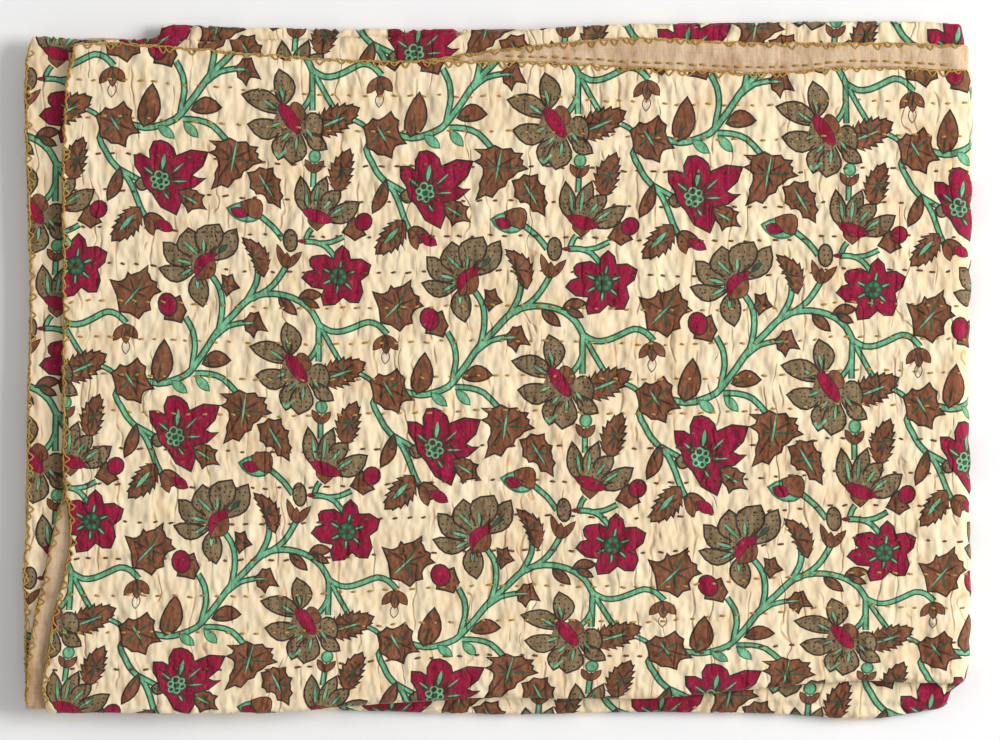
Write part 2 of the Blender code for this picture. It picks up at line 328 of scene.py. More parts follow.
def round_fold(layer, u, axis):
    """X short of the right-hand fold, the angle round it (0 above, pi below), and Y of the front and back end there."""
    over = np.maximum(u - axis, 0.0) / fold_radius(layer)
    angle = np.pi - over if layer.lower else over
    x = np.minimum(u, axis)
    return x, angle, front_line(angle / np.pi, x), back_line(layer.quarter, angle / np.pi, x)


def lay(layer, u, v, lift):
    """Where points of a flat layer come to lie, in mm. lift is their distance from the quilt's middle, towards the
    print."""
    x, angle, front, back = round_fold(layer, u, fold_axis(v))
    y, height = v, LAYER_PITCH * layer.quarter.step + lift * layer.quarter.print_side
    for turn, end, reach, way in ((layer.front_turn, front, front - v, -1), (layer.back_turn, back, v - back, 1)):
        if turn:
            beyond, turned_height = turned(layer, turn, lift, np.maximum(reach, 0.0))
            y = np.where(reach > 0, end + way * beyond, y)
            height = np.where(reach > 0, turned_height, height)
    radius = LAYER_PITCH / 2 + height
    x = x + radius * np.sin(angle)
    above_floor = PACKET_MIDDLE + radius * np.cos(angle) - FLOOR_MIDDLE
    z = FLOOR_MIDDLE + floor_lift(x, y) + above_floor * stack_share(x, y)
    return np.stack([x, y, z], axis=-1)


def layer_places(layer, u, v):
    """(share of the way from the front fold to the back end, distance in from the left hem, distance from the back
    end)."""
    _, _, front, back = round_fold(layer, u, fold_axis(v))
    share = (v - front) / (back - front)
    hem = left_line(layer.quarter, layer.lower, v, np.clip(share, 0.0, 1.0))
    return share, u - hem, back - v


# ---------------------------------------------------------------- unevenness


def value_noise(x, y, cell_x, cell_y, seed):
    """Smooth noise from -1 to 1 that changes over cells of the given size in mm."""
    table = np.random.default_rng(seed).uniform(-1, 1, (257, 257))
    x, y = x / cell_x + 100.0, y / cell_y + 100.0
    column_at, row_at = np.floor(x).astype(int), np.floor(y).astype(int)
    fx, fy = x - column_at, y - row_at
    fx, fy = fx * fx * (3 - 2 * fx), fy * fy * (3 - 2 * fy)
    c, r = column_at % 256, row_at % 256
    near = table[r, c] * (1 - fx) + table[r, c + 1] * fx
    far = table[r + 1, c] * (1 - fx) + table[r + 1, c + 1] * fx
    return near * (1 - fy) + far * fy


def stitch_start(row):
    """Where the running stitches of a row begin along u, as an offset below one pitch."""
    return (row * 4.3) % STITCH_PITCH


def relief(layer, u, v):
    """How far the cotton stands off its plain place, in mm: pillows between the rows, puckers and slow swells."""
    if not layer.unevenness:
        return np.zeros_like(u)
    share, from_hem, from_back = layer_places(layer, u, v)
    if layer.quarter is LAST:
        return layer.unevenness * hem_gathers(u, v, np.minimum(from_hem, from_back), from_hem < from_back)
    place = share * ROW_COUNT
    between_rows = np.abs(np.sin(np.pi * place))
    row = np.round(place)
    from_row = np.abs(place - row) * STITCH_ROW_GAP
    stitch = 0.5 + 0.5 * np.cos(math.tau * (u - stitch_start(row) - STITCH_LENGTH / 2) / STITCH_PITCH)
    pinch = PINCH * stitch * np.exp(-((from_row / PINCH_REACH) ** 2))
    leaning = u + LEAN_REACH * value_noise(u, v, *LEAN)
    pucker = value_noise(leaning, v, *PUCKER) + FINE_SHARE * value_noise(leaning, v, *FINE_PUCKER)
    pleat = 1 - 2 * np.abs(value_noise(leaning, v, *PLEAT)) ** 0.6
    rise = PILLOW * between_rows**0.8 + CRINKLE * (0.4 + between_rows) * (pucker + 0.7 * pleat) - pinch
    rise = rise + SWELL * value_noise(u, v, *SLOW_SWELL)
    if layer.quarter is SECOND:
        sagging = v - (FRONT_CREASE + 2.0 * value_noise(u, v, *CREASE_STRAY))
        rise = rise + CREASE_DEPTH * np.tanh(sagging / CREASE_SHARP) * np.exp(-((sagging / CREASE_WIDE) ** 2))
    return layer.unevenness * rise


def puffed(along):
    """1 on the puffs of a gathered hem and 0 at its gathers."""
    strayed = along + STRAY_REACH * value_noise(along, 0 * along, *GATHER_STRAY)
    return np.abs(np.sin(np.pi * strayed / GATHER_PITCH)) ** 0.6


def hem_gathers(u, v, edge, at_left):
    """The puffs of the hem that shows its backing."""
    puff = puffed(np.where(at_left, v, u))
    return (1.9 * puff - 0.8) * np.exp(-edge / GATHER_FADE) + 0.4 * value_noise(u, v, *GATHERED)


def hem_wave(along, seed):
    """How far an overcast hem strays from its plain line."""
    return HEM_REACH * value_noise(along, 0 * along, *HEM_STRAY, seed)


def lifted(layer, u, v, side):
    """Distance of a cotton's outer surface from the quilt's middle, towards the print: side is 1 for the print, -1 for
    the backing. The two meet at the hems."""
    share, from_hem, from_back = layer_places(layer, u, v)
    edge = from_hem
    if layer.quarter in (FIRST, LAST):
        edge = np.minimum(edge, from_back)
    part = np.clip(edge / HEM_ROUND, 0.0, 1.0)
    parted = np.sqrt(1 - (1 - part) ** 2)
    # The relief shows on the side that looks up.
    looks_up = layer.quarter.print_side * (1 - 2 * layer.lower) * side
    bump = relief(layer, u, v) if looks_up > 0 else 0.0
    held = np.clip(edge / (3.0 if layer.quarter is LAST else 8.0), 0.25, 1.0)
    held = held * np.clip(1 + share / TURN_FADE, 0.0, 1.0)
    return side * parted * (FACE_LIFT + bump * held)


# ---------------------------------------------------------------- grids


def layer_grid(layer, shares_across, shares_along, fold_steps, turn_steps):
    """Flat points of a layer, rows from front to back and columns from the left hem round the right-hand fold."""
    fold_reach = np.pi * fold_radius(layer) * (1 - layer.fold_share if layer.lower else layer.fold_share)
    hem_steps = (0.0, 0.2, 0.6, HEM_ROUND)
    across = [(0.0, step) for step in hem_steps]
    across += [(share, 0.0) for share in shares_across if share > 0]
    across += [(1.0, fold_reach * step / fold_steps) for step in range(1, fold_steps + 1)]
    along = [(share, 0.0) for share in shares_along[:-1]]
    if layer.front_turn:
        reach = turn_reach(layer, layer.front_turn)
        along = [(0.0, -reach * step / turn_steps) for step in range(turn_steps, 0, -1)] + along
    if layer.back_turn:
        reach = turn_reach(layer, layer.back_turn)
        along += [(1.0, reach * step / turn_steps) for step in range(turn_steps + 1)]
    elif layer.quarter in (FIRST, LAST):
        along += [(1.0, -step) for step in reversed(hem_steps)]
    else:
        along += [(1.0, 0.0)]
    share_u, extra_u = np.array(across).T
    share_v, extra_v = np.array(along).T[:, :, None]
    u = np.broadcast_to(fold_axis(0.0) * (2 * share_u - 1), (len(along), len(across))).copy()
    for _ in range(SETTLE_ROUNDS):
        _, _, front, back = round_fold(layer, u, fold_axis(0.0))
        v = front + (back - front) * share_v + extra_v
        hem = left_line(layer.quarter, layer.lower, v, np.broadcast_to(share_v, v.shape))
        u = hem + (fold_axis(v) - hem) * share_u + extra_u
    return u, v


# ---------------------------------------------------------------- print: outlines of single shapes


def unit(vectors):
    return vectors / np.maximum(np.linalg.norm(vectors, axis=-1, keepdims=True), 1e-9)


def sideways(vectors):
    return np.stack([-vectors[..., 1], vectors[..., 0]], axis=-1)


def leaf_outline(root, tip, share, half_width, bend):
    """The outline round a spine from root to tip, bowed by bend, with its half width at each share of the way."""
    root, tip = np.array(root, float), np.array(tip, float)
    aside = sideways(unit(tip - root))
    spine = root + (tip - root) * share[:, None] + aside * (bend * np.sin(np.pi * share))[:, None]
    left, right = spine + aside * half_width[:, None], spine - aside * half_width[:, None]
    return np.vstack([left, right[-2:0:-1]])


def petal(root, tip, width, full=1.0, bend=0.0, steps=6):
    """A pointed oval from root to tip. full over 1 moves its widest place towards the tip, and bend bows it."""
    share = np.linspace(0.0, 1.0, steps + 1)
    return leaf_outline(root, tip, share, width / 2 * np.sin(np.pi * share**full) ** 0.75, bend)


def toothed(root, tip, width, teeth, bend, bite=0.3):
    """A leaf like petal, with teeth that point to its tip."""
    step = 1 / (teeth + 0.6)
    share, reach = [0.0], [0.0]
    for tooth in range(teeth):
        share += [(tooth + 0.95) * step, (tooth + 0.85) * step]
        reach += [1.0, 1.0 - bite]
    share, reach = np.array([*share, 1.0]), np.array([*reach, 0.0])
    half_width = width / 2 * reach * np.sin(np.pi * np.clip(share, 0.04, 0.96) ** 0.8) ** 0.6
    return leaf_outline(root, tip, share, half_width, bend)


def spiked(centre, tips, notch):
    """A leaf with sharp lobes: notch is how far out the bays between two tips lie, as a share of their middle."""
    centre, tips = np.array(centre, float), np.array(tips, float)
    bays = centre + ((tips + np.roll(tips, -1, axis=0)) / 2 - centre) * notch
    outline = np.empty((2 * len(tips), 2))
    outline[0::2], outline[1::2] = tips, bays
    return outline


def flower(corners, bulge):
    """A flower from its tips and bays by turns, whose petals have swollen sides."""
    corners = np.array(corners, float)
    centre = corners.mean(axis=0)
    outline = []
    for near, far in zip(corners, np.roll(corners, -1, axis=0)):
        middle = (near + far) / 2
        aside = sideways(unit(far - near))
        aside = aside if np.dot(aside, middle - centre) > 0 else -aside
        outline += [near, middle + aside * bulge * np.linalg.norm(far - near)]
    return np.array(outline)


def oval(centre, across, along, lean=0.0, steps=14):
    """An oval with these half axes, leaning by degrees."""
    turn = np.arange(steps) / steps * math.tau
    points = np.stack([across * np.cos(turn), along * np.sin(turn)], axis=1)
    lean = math.radians(lean)
    spin = np.array([[math.cos(lean), math.sin(lean)], [-math.sin(lean), math.cos(lean)]])
    return np.array(centre, float) + points @ spin


def smooth_through(points, steps):
    """A curve through the points."""
    points = np.array(points, float)
    ends = np.vstack([2 * points[0] - points[1], points, 2 * points[-1] - points[-2]])
    share = np.linspace(0.0, 1.0, steps, endpoint=False)[:, None]
    runs = [
        (2 * b + (c - a) * share + (2 * a - 5 * b + 4 * c - d) * share**2 + (3 * b - 3 * c + d - a) * share**3) / 2
        for a, b, c, d in zip(ends[:-3], ends[1:-2], ends[2:-1], ends[3:])
    ]
    return np.vstack([*runs, points[-1:]])


def ribbon(points, width):
    """The outline of a band along a curve through the points."""
    line = smooth_through(points, 2)
    aside = sideways(unit(np.gradient(line, axis=0))) * width / 2
    return np.vstack([line + aside, (line - aside)[::-1]])


def grown(outline, by):
    """The outline moved out by a distance, or in where it is below 0."""
    ahead = unit(np.roll(outline, -1, axis=0) - outline)
    behind = np.roll(ahead, 1, axis=0)
    first, second = -sideways(behind), -sideways(ahead)
    mitre = (first + second) / np.maximum(1 + (first * second).sum(axis=1, keepdims=True), 0.45)
    x, y = outline.T
    turning = np.sign((x * np.roll(y, -1) - np.roll(x, -1) * y).sum())
    return outline + mitre * by * turning


# ---------------------------------------------------------------- print: the repeat

Shape = namedtuple("Shape", "outline ink")


def draw(shapes, outline, ink, line=LINE, edge="outline"):
    """Adds a filled shape with a drawn outline."""
    shapes += [Shape(grown(outline, line / 2), edge), Shape(grown(outline, -line / 2), ink)]


def draw_all(shapes, ink, line, outlines):
    """Adds filled shapes of one ink."""
    for outline in outlines:
        draw(shapes, outline, ink, line)


def streak(shapes, start, end, width, ink="mint", edge="outline"):
    """A short brush stroke."""
    shapes.append(Shape(petal(start, end, width + 1.0, steps=4), edge))
    shapes.append(Shape(petal(start, end, width - 0.9, steps=4), ink))


def veins(shapes, centre, tips, reach, width=2.6):
    """Dark brush strokes from the middle of a leaf or flower towards its tips."""
    centre = np.array(centre, float)
    for number, tip in enumerate(np.array(tips, float)):
        stroke = petal(centre, centre + (tip - centre) * reach, width, steps=3)
        shapes.append(Shape(stroke, ("umber", "umber", "moss")[number % 3]))


def fan(shapes, root, way, reach, spread, width):
    """Two veins that part towards a place reach away."""
    tip = root + way * reach
    veins(shapes, root, (tip + sideways(way) * spread, tip - sideways(way) * spread), 0.8, width)


def around(count, start=0.0):
    """Directions spread evenly round the circle."""
    return [np.array([math.cos(turn), math.sin(turn)]) for turn in (n * math.tau / count + start for n in range(count))]


# Stems of the repeat: (width, points along the middle).
STEMS = (
    (5.6, [(402, 391), (419, 395), (433, 393), (448, 387), (457, 377), (467, 364), (475, 352), (484, 341),
           (496, 329), (507, 317), (519, 309), (534, 306), (549, 307), (564, 312), (576, 322), (583, 335)]),
    (5.2, [(583, 335), (595, 341), (608, 340), (622, 334), (634, 329), (645, 332), (654, 341)]),
    (5.0, [(583, 336), (582.5, 352), (582.5, 374)]),
    (4.4, [(582, 356), (578, 365), (571, 374)]),
    (4.4, [(586, 340), (595, 356), (604, 371)]),
    (5.0, [(480, 347), (484, 328), (484, 311), (480, 299), (472, 288)]),
    (5.0, [(508, 317), (516, 303), (520, 293), (521, 280), (517, 267)]),
    (4.8, [(514, 313), (531, 302), (541, 291), (550, 276)]),
    (4.4, [(477, 351), (490, 341), (506, 337)]),
    (4.8, [(452, 384), (454, 372), (456, 360), (454, 345), (447, 332)]),
    (4.8, [(455, 387), (470, 388), (484, 393), (496, 405), (503, 412)]),
    (4.8, [(380, 392), (373, 403), (379, 416), (385, 427), (394, 437), (402, 446), (409, 461), (415, 477), (421, 488)]),
    (4.4, [(394, 436), (404, 442), (414, 448)]),
    (4.0, [(626, 384), (634, 388), (642, 394), (654, 396)]),
    (4.6, [(533, 485), (547, 497), (557, 510)]),
    (4.6, [(568, 249), (580, 249), (591, 253), (600, 263)]),
    (4.2, [(582, 250), (596, 248), (609, 242)]),
    (4.4, [(585, 497), (582, 501), (579, 509)]),
    (4.6, [(585, 434), (585, 453)]),
)


def draw_stems(shapes):
    for edge_width, ink in ((2.0, "moss"), (-1.5, "mint")):
        shapes += [Shape(ribbon(points, width + edge_width), ink) for width, points in STEMS]


# Lobed leaves: (middle, how far out the bays lie, tips, brush stroke along the midrib).
LOBED_LEAVES = (
    ((397, 306), 0.90, ((373, 292), (384, 294), (391, 286), (396, 288), (411, 280), (412, 289), (419, 297), (423, 306),
                        (413, 312), (412, 323), (400, 331), (381, 323)), ((384, 319), (403, 300))),
    ((388, 389), 0.94, ((370, 381), (379, 374), (386, 376), (397, 369), (405, 378), (405, 388), (413, 400), (402, 402),
                        (399, 413), (385, 409), (374, 402)), ((383, 381), (393, 397))),
    ((504, 426), 0.88, ((501, 405), (481, 408), (489, 413), (482, 420), (491, 427), (488, 442), (485, 458), (501, 456),
                        (513, 445), (520, 436), (534, 428), (529, 420), (528, 413), (517, 408)),
     ((508, 407), (503, 442))),
    ((538, 452), 0.90, ((531, 434), (544, 434), (546, 442), (552, 446), (552, 456), (555, 463), (553, 476), (541, 471),
                        (537, 463), (529, 462), (523, 456), (520, 440)), ((530, 440), (546, 466))),
    ((465, 470), 0.88, ((450, 460), (461, 455), (470, 460), (478, 465), (476, 472), (481, 480), (470, 479), (463, 483),
                        (457, 473)), ((456, 464), (472, 474))),
    ((491, 300), 0.82, ((485, 290), (495, 289), (502, 302), (489, 311), (484, 304)), None),
    ((515, 338), 0.90, ((505, 336), (513, 327), (521, 326), (530, 345), (520, 344), (516, 352), (508, 345)),
     ((503, 338), (517, 337))),
)
# (root, tip, width, teeth, bend)
TOOTHED_LEAVES = (
    ((583, 394), (631, 372), 31, 7, 0.0),
    ((414, 476), (385, 509), 27, 6, -2.0),
    ((610, 458), (622, 413), 26, 6, -3.0),
    ((527, 289), (506, 250), 20, 6, 7.0),
)
# (root, tip, width, full, bend)
SMALL_LEAVES = (
    ((417, 394), (425, 353), 21, 0.75, 2.0),
    ((394, 434), (381, 467), 13, 1.1, -2.0),
    ((542, 310), (560, 326), 11, 0.9, 0.0),
    ((463, 378), (492, 375), 16, 1.0, -3.0),
    ((562, 309), (586, 303), 11, 1.0, -2.0),
    ((566, 309), (583, 317), 8, 1.0, 0.0),
)


def draw_leaves(shapes):
    for centre, notch, tips, midrib in LOBED_LEAVES:
        draw(shapes, spiked(centre, tips, notch), "brown")
        veins(shapes, centre, tips[::2], 0.8)
        if midrib:
            streak(shapes, *midrib, 3.0, edge="umber")
    for root, tip, width, teeth, bend in TOOTHED_LEAVES:
        draw(shapes, toothed(root, tip, width, teeth, bend), "brown")
        edge = toothed(root, tip, width * 0.8, teeth, bend, bite=0.0)
        veins(shapes, (np.array(root) + np.array(tip)) / 2, edge[::4], 0.8)
    streak(shapes, (590, 391), (618, 380), 3.4)
    streak(shapes, (408, 483), (393, 499), 5.5)
    streak(shapes, (612, 447), (616, 430), 2.6, "moss", "umber")
    for leaf in SMALL_LEAVES:
        root, tip = leaf[:2]
        draw(shapes, petal(*leaf), "brown")
        streak(shapes, root, (np.array(root) + np.array(tip)) / 2, 1.8, "moss", "umber")
    for root, tip in (((431, 393), (447, 406)), ((456, 390), (470, 405))):
        draw(shapes, petal(root, tip, 9), "mint", 1.3, "fern")


def draw_petals(shapes, petals):
    """Olive petals, each with two dark strokes that fan out from its root."""
    for row in petals:
        draw(shapes, petal(*row), "olive")
    for root, tip, *_ in petals:
        root, tip = np.array(root, float), np.array(tip, float)
        middle, aside = (root + tip) / 2, sideways(unit(tip - root)) * 4.5
        veins(shapes, root, (middle + aside, middle - aside), 0.95, 2.4)


def draw_streaks(shapes, streaks):
    for start, end in streaks:
        streak(shapes, start, end, 4.0)


def draw_side_flower(shapes):
    draw_petals(shapes, (
        ((459, 286), (422, 283), 16, 1.2, -5.0),
        ((460, 280), (427, 257), 19, 1.3, -5.0),
        ((463, 276), (452, 242), 22, 1.35, -6.0),
        ((471, 276), (500, 241), 21, 1.15, 4.0),
        ((467, 276), (483, 237), 27, 1.35, -5.0),
        ((461, 288), (465, 322), 20, 0.95, 2.0),
    ))
    shapes.append(Shape(oval((463, 278), 11, 10, steps=8), "olive"))
    draw_streaks(shapes, (
        ((467, 254), (467, 267)), ((446, 255), (461, 270)), ((439, 275), (455, 279)), ((443, 291), (455, 284)),
        ((460, 293), (460, 305)),
    ))
    streak(shapes, (480, 268), (492, 257), 5.0, "moss")
    draw(shapes, petal((460, 297), (479, 267), 15, 1.0, -5.0), "crimson", THIN_LINE)
    draw(shapes, petal((459, 295), (478, 275), 13, 1.1, 3.0), "brown", THIN_LINE)


def draw_big_flower(shapes):
    draw(shapes, oval((583, 391), 11, 15), "olive")
    draw_petals(shapes, (
        ((553, 370), (549, 335), 21, 1.05, 3.5),
        ((554, 376), (512, 361), 20, 1.0, 3.0),
        ((557, 388), (518, 390), 21, 1.15, -5.0),
        ((577, 396), (598, 413), 15, 1.0, 2.0),
        ((560, 395), (549, 425), 18, 1.2, 3.0),
        ((567, 390), (562, 429), 24, 1.6, -1.5),
    ))
    shapes.append(Shape(oval((561, 385), 18, 17, steps=10), "olive"))
    draw_streaks(shapes, (
        ((549, 350), (553, 363)), ((533, 365), (545, 373)), ((540, 391), (550, 387)), ((552, 404), (559, 396)),
        ((567, 400), (566, 415)), ((576, 392), (582, 400)),
    ))
    shapes.append(Shape(ribbon([(546, 417), (549, 422), (557, 414)], 2.6), "mint"))
    draw(shapes, oval((567, 375), 7, 10, -30.0), "brown", THIN_LINE)
    draw(shapes, oval((559.5, 382), 6.8, 17.5, -36.0), "crimson", THIN_LINE)


def draw_tulip(shapes):
    draw_petals(shapes, (
        ((585, 484), (572, 442), 17, 0.9, -3.0),
        ((590, 484), (598, 442), 17, 0.95, -3.0),
        ((595, 482), (613, 456), 17, 1.2, -3.0),
        ((597, 487), (633, 468), 20, 1.0, 3.0),
    ))
    shapes.append(Shape(oval((592, 476), 11, 9, steps=8), "olive"))
    draw_streaks(shapes, (
        ((577, 452), (580, 474)), ((590, 451), (588, 474)), ((606, 463), (596, 476)), ((619, 472), (604, 482)),
    ))
    draw(shapes, petal((590, 499), (590, 480), 19, 1.3), "brown", THIN_LINE)
    draw(shapes, petal((574, 477), (607, 489), 13, 1.0, 1.0), "crimson", THIN_LINE)


def draw_star_flower(shapes):
    middle = np.array((603.5, 283))
    draw(shapes, flower((
        (608, 251), (616, 265), (637, 270), (626, 286), (624, 309), (608, 304), (588, 314), (589, 297), (566, 287),
        (579, 278), (574, 268), (581, 263), (599, 266),
    ), 0.16), "crimson")
    for turn in (-78, -20, 42, 96, 152, 205):
        way = np.array([math.cos(math.radians(turn)), math.sin(math.radians(turn))])
        fan(shapes, middle, way, 26, 4, 2.6)
        streak(shapes, middle + way * 8, middle + way * 18, 3.0)
    draw(shapes, oval(middle, 9.5, 9.5), "moss", 1.2)
    shapes += [Shape(oval(middle + 5.6 * way, 2.1, 2.1, steps=7), "fern") for way in around(6)]
    shapes.append(Shape(oval(middle, 2.8, 2.8, steps=8), "umber"))


def draw_ring_flower(shapes):
    heart = np.array((434, 449))
    draw(shapes, petal((426, 453), (409, 450), 14, 1.2), "olive")
    draw(shapes, flower((
        (427, 409), (441, 411), (449, 424), (480, 420), (465, 444), (479, 447), (453, 459), (451, 485), (426, 461),
        (415, 442), (408, 422), (424, 427),
    ), 0.13), "crimson")
    for start, end, width in (
        ((438, 421), (436, 438), 5.0), ((457, 431), (446, 441), 2.8), ((443, 468), (438, 461), 2.8),
        ((417, 434), (427, 442), 2.8), ((461, 450), (447, 450), 2.8),
    ):
        fan(shapes, heart, unit(np.array(start, float) - heart), 30, 6, 3.0)
        streak(shapes, start, end, width)
    draw(shapes, oval(heart, 9.5, 10.5), "moss", THIN_LINE)
    for number, way in enumerate(around(6, -1.8)):
        bead, size = heart + 6.4 * way, 3.7 if number else 4.6
        shapes.append(Shape(oval(bead, size, size, steps=9), "mint"))
        shapes.append(Shape(oval(bead, size - 1.6, size - 1.6, steps=7), "umber"))


def draw_buds(shapes):
    draw(shapes, oval((554.5, 249), 7.2, 11.5), "olive")
    draw_all(shapes, "brown", THIN_LINE, [
        petal((549, 278), tip, width, 0.8) for tip, width in (((541, 254), 8), ((566, 260), 8), ((551, 262), 9))
    ])
    draw(shapes, petal((562, 249), (571, 249), 4, steps=4), "crimson", 0.8)
    draw(shapes, spiked((437, 325), ((426, 333), (443, 337), (448, 326), (442, 311), (428, 316)), 0.95), "brown")
    draw(shapes, oval((429.5, 319), 9.2, 11.2, -15.0), "crimson")
    draw(shapes, oval((585.7, 420.5), 5.8, 6.4), "mint", LINE, "fern")
    draw_all(shapes, "brown", THIN_LINE, [petal((585, 438), tip, 7) for tip in ((576, 424), (586, 428), (595, 425))])
    draw(shapes, spiked((627, 496), ((616, 500), (623, 488), (628, 484), (640, 502), (629, 508)), 0.95), "brown")
    draw(shapes, oval((637.5, 488.5), 8.4, 9.2, 35.0), "crimson")
    draw(shapes, petal((418, 486), (441, 494), 17, 0.8, 2.0), "brown")
    draw(shapes, petal((421, 485), (428, 506), 10), "brown", THIN_LINE)
    draw(shapes, petal((430, 491), (448, 502), 11), "crimson", THIN_LINE)
    draw(shapes, petal((534, 487), (501, 478), 20, 0.9, 1.0), "mint", 2.2, "fern")
    draw(shapes, petal((534, 488), (514, 471), 20, 1.0, 4.0), "brown", 1.2)
    draw(shapes, petal((521, 486), (505, 479), 11), "crimson", THIN_LINE)
    draw(shapes, petal((386, 350), (385, 364), 8), "cream", 0.9)
    draw_all(shapes, "brown", THIN_LINE, [
        petal((386, 335), tip, 9, 1.1) for tip in ((373, 350), (386, 354), (398, 350))
    ])
    streak(shapes, (386, 340), (385, 350), 2.0, "moss", "umber")


def one_repeat():
    """The chart's shapes, each over those before it."""
    shapes = []
    for part in (draw_stems, draw_buds, draw_leaves, draw_side_flower, draw_big_flower, draw_tulip, draw_star_flower,
                 draw_ring_flower):
        part(shapes)
    return shapes


# Where the block came down: flowers of the top layer as seen, against their places on an even lattice.
RING_FLOWER, STAR_FLOWER, SIDE_FLOWER, BIG_FLOWER = (433, 448), (603.5, 282.6), (466.5, 278), (557, 382)
Printed = namedtuple("Printed", "flower column row x y")
PRINTED = [Printed(flower, *place) for flower, places in (
    (RING_FLOWER, (
        (-1, -1, 160, 179), (0, -1, 425, 191), (1, -1, 694, 196), (2, -1, 959, 207), (-1, 0, 175, 435),
        (0, 0, 434, 447), (1, 0, 701, 456), (2, 0, 965, 461), (-1, 1, 177, 684), (0, 1, 435, 694),
    )),
    (STAR_FLOWER, (
        (-2, 0, 75, 265), (-1, 0, 338, 276), (0, 0, 603, 282), (1, 0, 873, 289), (-2, 1, 91, 521), (-1, 1, 346, 531),
        (0, 1, 612, 545), (1, 1, 884, 553),
    )),
    (SIDE_FLOWER, (
        (-1, 0, 201, 265), (0, 0, 464, 281), (1, 0, 734, 285), (-1, 1, 215, 523), (0, 1, 477, 539), (1, 1, 742, 550),
    )),
    (BIG_FLOWER, (
        (-1, -1, 288, 119), (0, -1, 553, 123), (1, -1, 822, 131), (-1, 0, 294, 368), (0, 0, 557, 382),
        (1, 0, 826, 386), (-1, 1, 304, 621), (0, 1, 565, 633), (1, 1, 840, 636),
    )),
) for place in places]
DRIFT_EASE = 0.02  # how far the drift may miss a single flower: 0 goes through them all


def plate(points, others):
    """Bending of a thin plate at points by loads at others, both in chart units."""
    away = np.linalg.norm(points[:, None] - others[None], axis=-1) / REPEAT_WIDE
    return away**2 * np.log(np.maximum(away, 1e-6))


def even_places():
    """Where those flowers would be on the even lattice."""
    return np.array([(p.flower[0] + REPEAT_WIDE * p.column, p.flower[1] + REPEAT_HIGH * p.row) for p in PRINTED])


def plate_terms(points, even):
    """The terms of a thin plate through the points of even."""
    return np.hstack([plate(points, even), np.ones((len(points), 1)), points / REPEAT_WIDE])


def fit_drift():
    """How the print drifts from an even lattice over the top layer, as the weights of plate_terms."""
    even = even_places()
    seen = np.array([(p.x, p.y) for p in PRINTED])
    count = len(even)
    system = np.zeros((count + 3, count + 3))
    system[:count] = plate_terms(even, even)
    system[:count, :count] += DRIFT_EASE * np.eye(count)
    system[count:, :count] = system[:count, count:].T
    return np.linalg.solve(system, np.vstack([seen - even, np.zeros((3, 2))]))


def chart_to_flat(points):
    """Chart units to mm on a flat layer."""
    return (points - np.array(CHART_MIDDLE)) * np.array([CHART_UNIT, -CHART_UNIT])


def even_repeat(drift):
    """The repeat on the even lattice: its shapes are charted as they lie in the middle of the top layer."""
    even = even_places()
    freed = []
    for shape in one_repeat():
        outline = shape.outline
        for _ in range(SETTLE_ROUNDS):
            outline = shape.outline - plate_terms(outline, even) @ drift
        freed.append(Shape(outline, shape.ink))
    return freed


def repeats_over(box, drifting=False, shift=(0, 0)):
    """Shapes of the print, in mm on a flat layer, that touch box = (left, right, front, back). shift is in chart
    units."""
    left, right, front, back = box
    drift, even = fit_drift(), even_places()
    chart = even_repeat(drift)
    found = []
    for row in REPEAT_ROWS:
        for across in REPEAT_COLUMNS:
            offset = np.array([REPEAT_WIDE * across + shift[0], REPEAT_HIGH * row + shift[1]], float)
            for shape in chart:
                outline = shape.outline + offset
                if drifting:
                    outline = outline + plate_terms(outline, even) @ drift
                outline = chart_to_flat(outline)
                low, high = outline.min(axis=0), outline.max(axis=0)
                if high[0] > left and low[0] < right and high[1] > front and low[1] < back:
                    found.append(Shape(outline, shape.ink))
    return found


# ---------------------------------------------------------------- meshes


def linear(colour):
    """sRGB bytes as a linear colour, opaque."""
    share = np.array(colour, float) / 255
    return (*np.where(share <= 0.04045, share / 12.92, ((share + 0.055) / 1.055) ** 2.4), 1.0)


Patch = namedtuple("Patch", "points faces flat inks")  # one layer's share of a piece


def grid_faces(rows, columns):
    at = np.arange(rows * columns).reshape(rows, columns)
    a, b, c, d = at[:-1, :-1], at[:-1, 1:], at[1:, 1:], at[1:, :-1]
    return np.stack([a, b, c, a, c, d], axis=-1).reshape(-1, 3)


def rim(rows, columns):
    """The outer points of a grid, once round."""
    at = np.arange(rows * columns).reshape(rows, columns)
    return np.concatenate([at[0, :-1], at[:-1, -1], at[-1, :0:-1], at[:0:-1, 0]])


def inside(outline, points):
    """Whether each point lies inside the outline."""
    x, y = points.T
    near, far = outline, np.roll(outline, -1, axis=0)
    odd = np.zeros(len(points), bool)
    for (x0, y0), (x1, y1) in zip(near, far):
        if y0 != y1:
            odd ^= ((y0 > y) != (y1 > y)) & (x < x0 + (x1 - x0) * (y - y0) / (y1 - y0))
    return odd


def inked(centres, shapes):
    """The number of the last shape that covers each point, or -1."""
    order = np.argsort(centres[:, 0])
    points = centres[order]
    tops = np.full(len(points), -1)
    for number, shape in enumerate(shapes):
        low, high = shape.outline.min(axis=0), shape.outline.max(axis=0)
        first, last = np.searchsorted(points[:, 0], (low[0], high[0]))
        near = first + np.flatnonzero((points[first:last, 1] > low[1]) & (points[first:last, 1] < high[1]))
        tops[near[inside(shape.outline, points[near])]] = number
    found = np.empty_like(tops)
    found[order] = tops
    return found


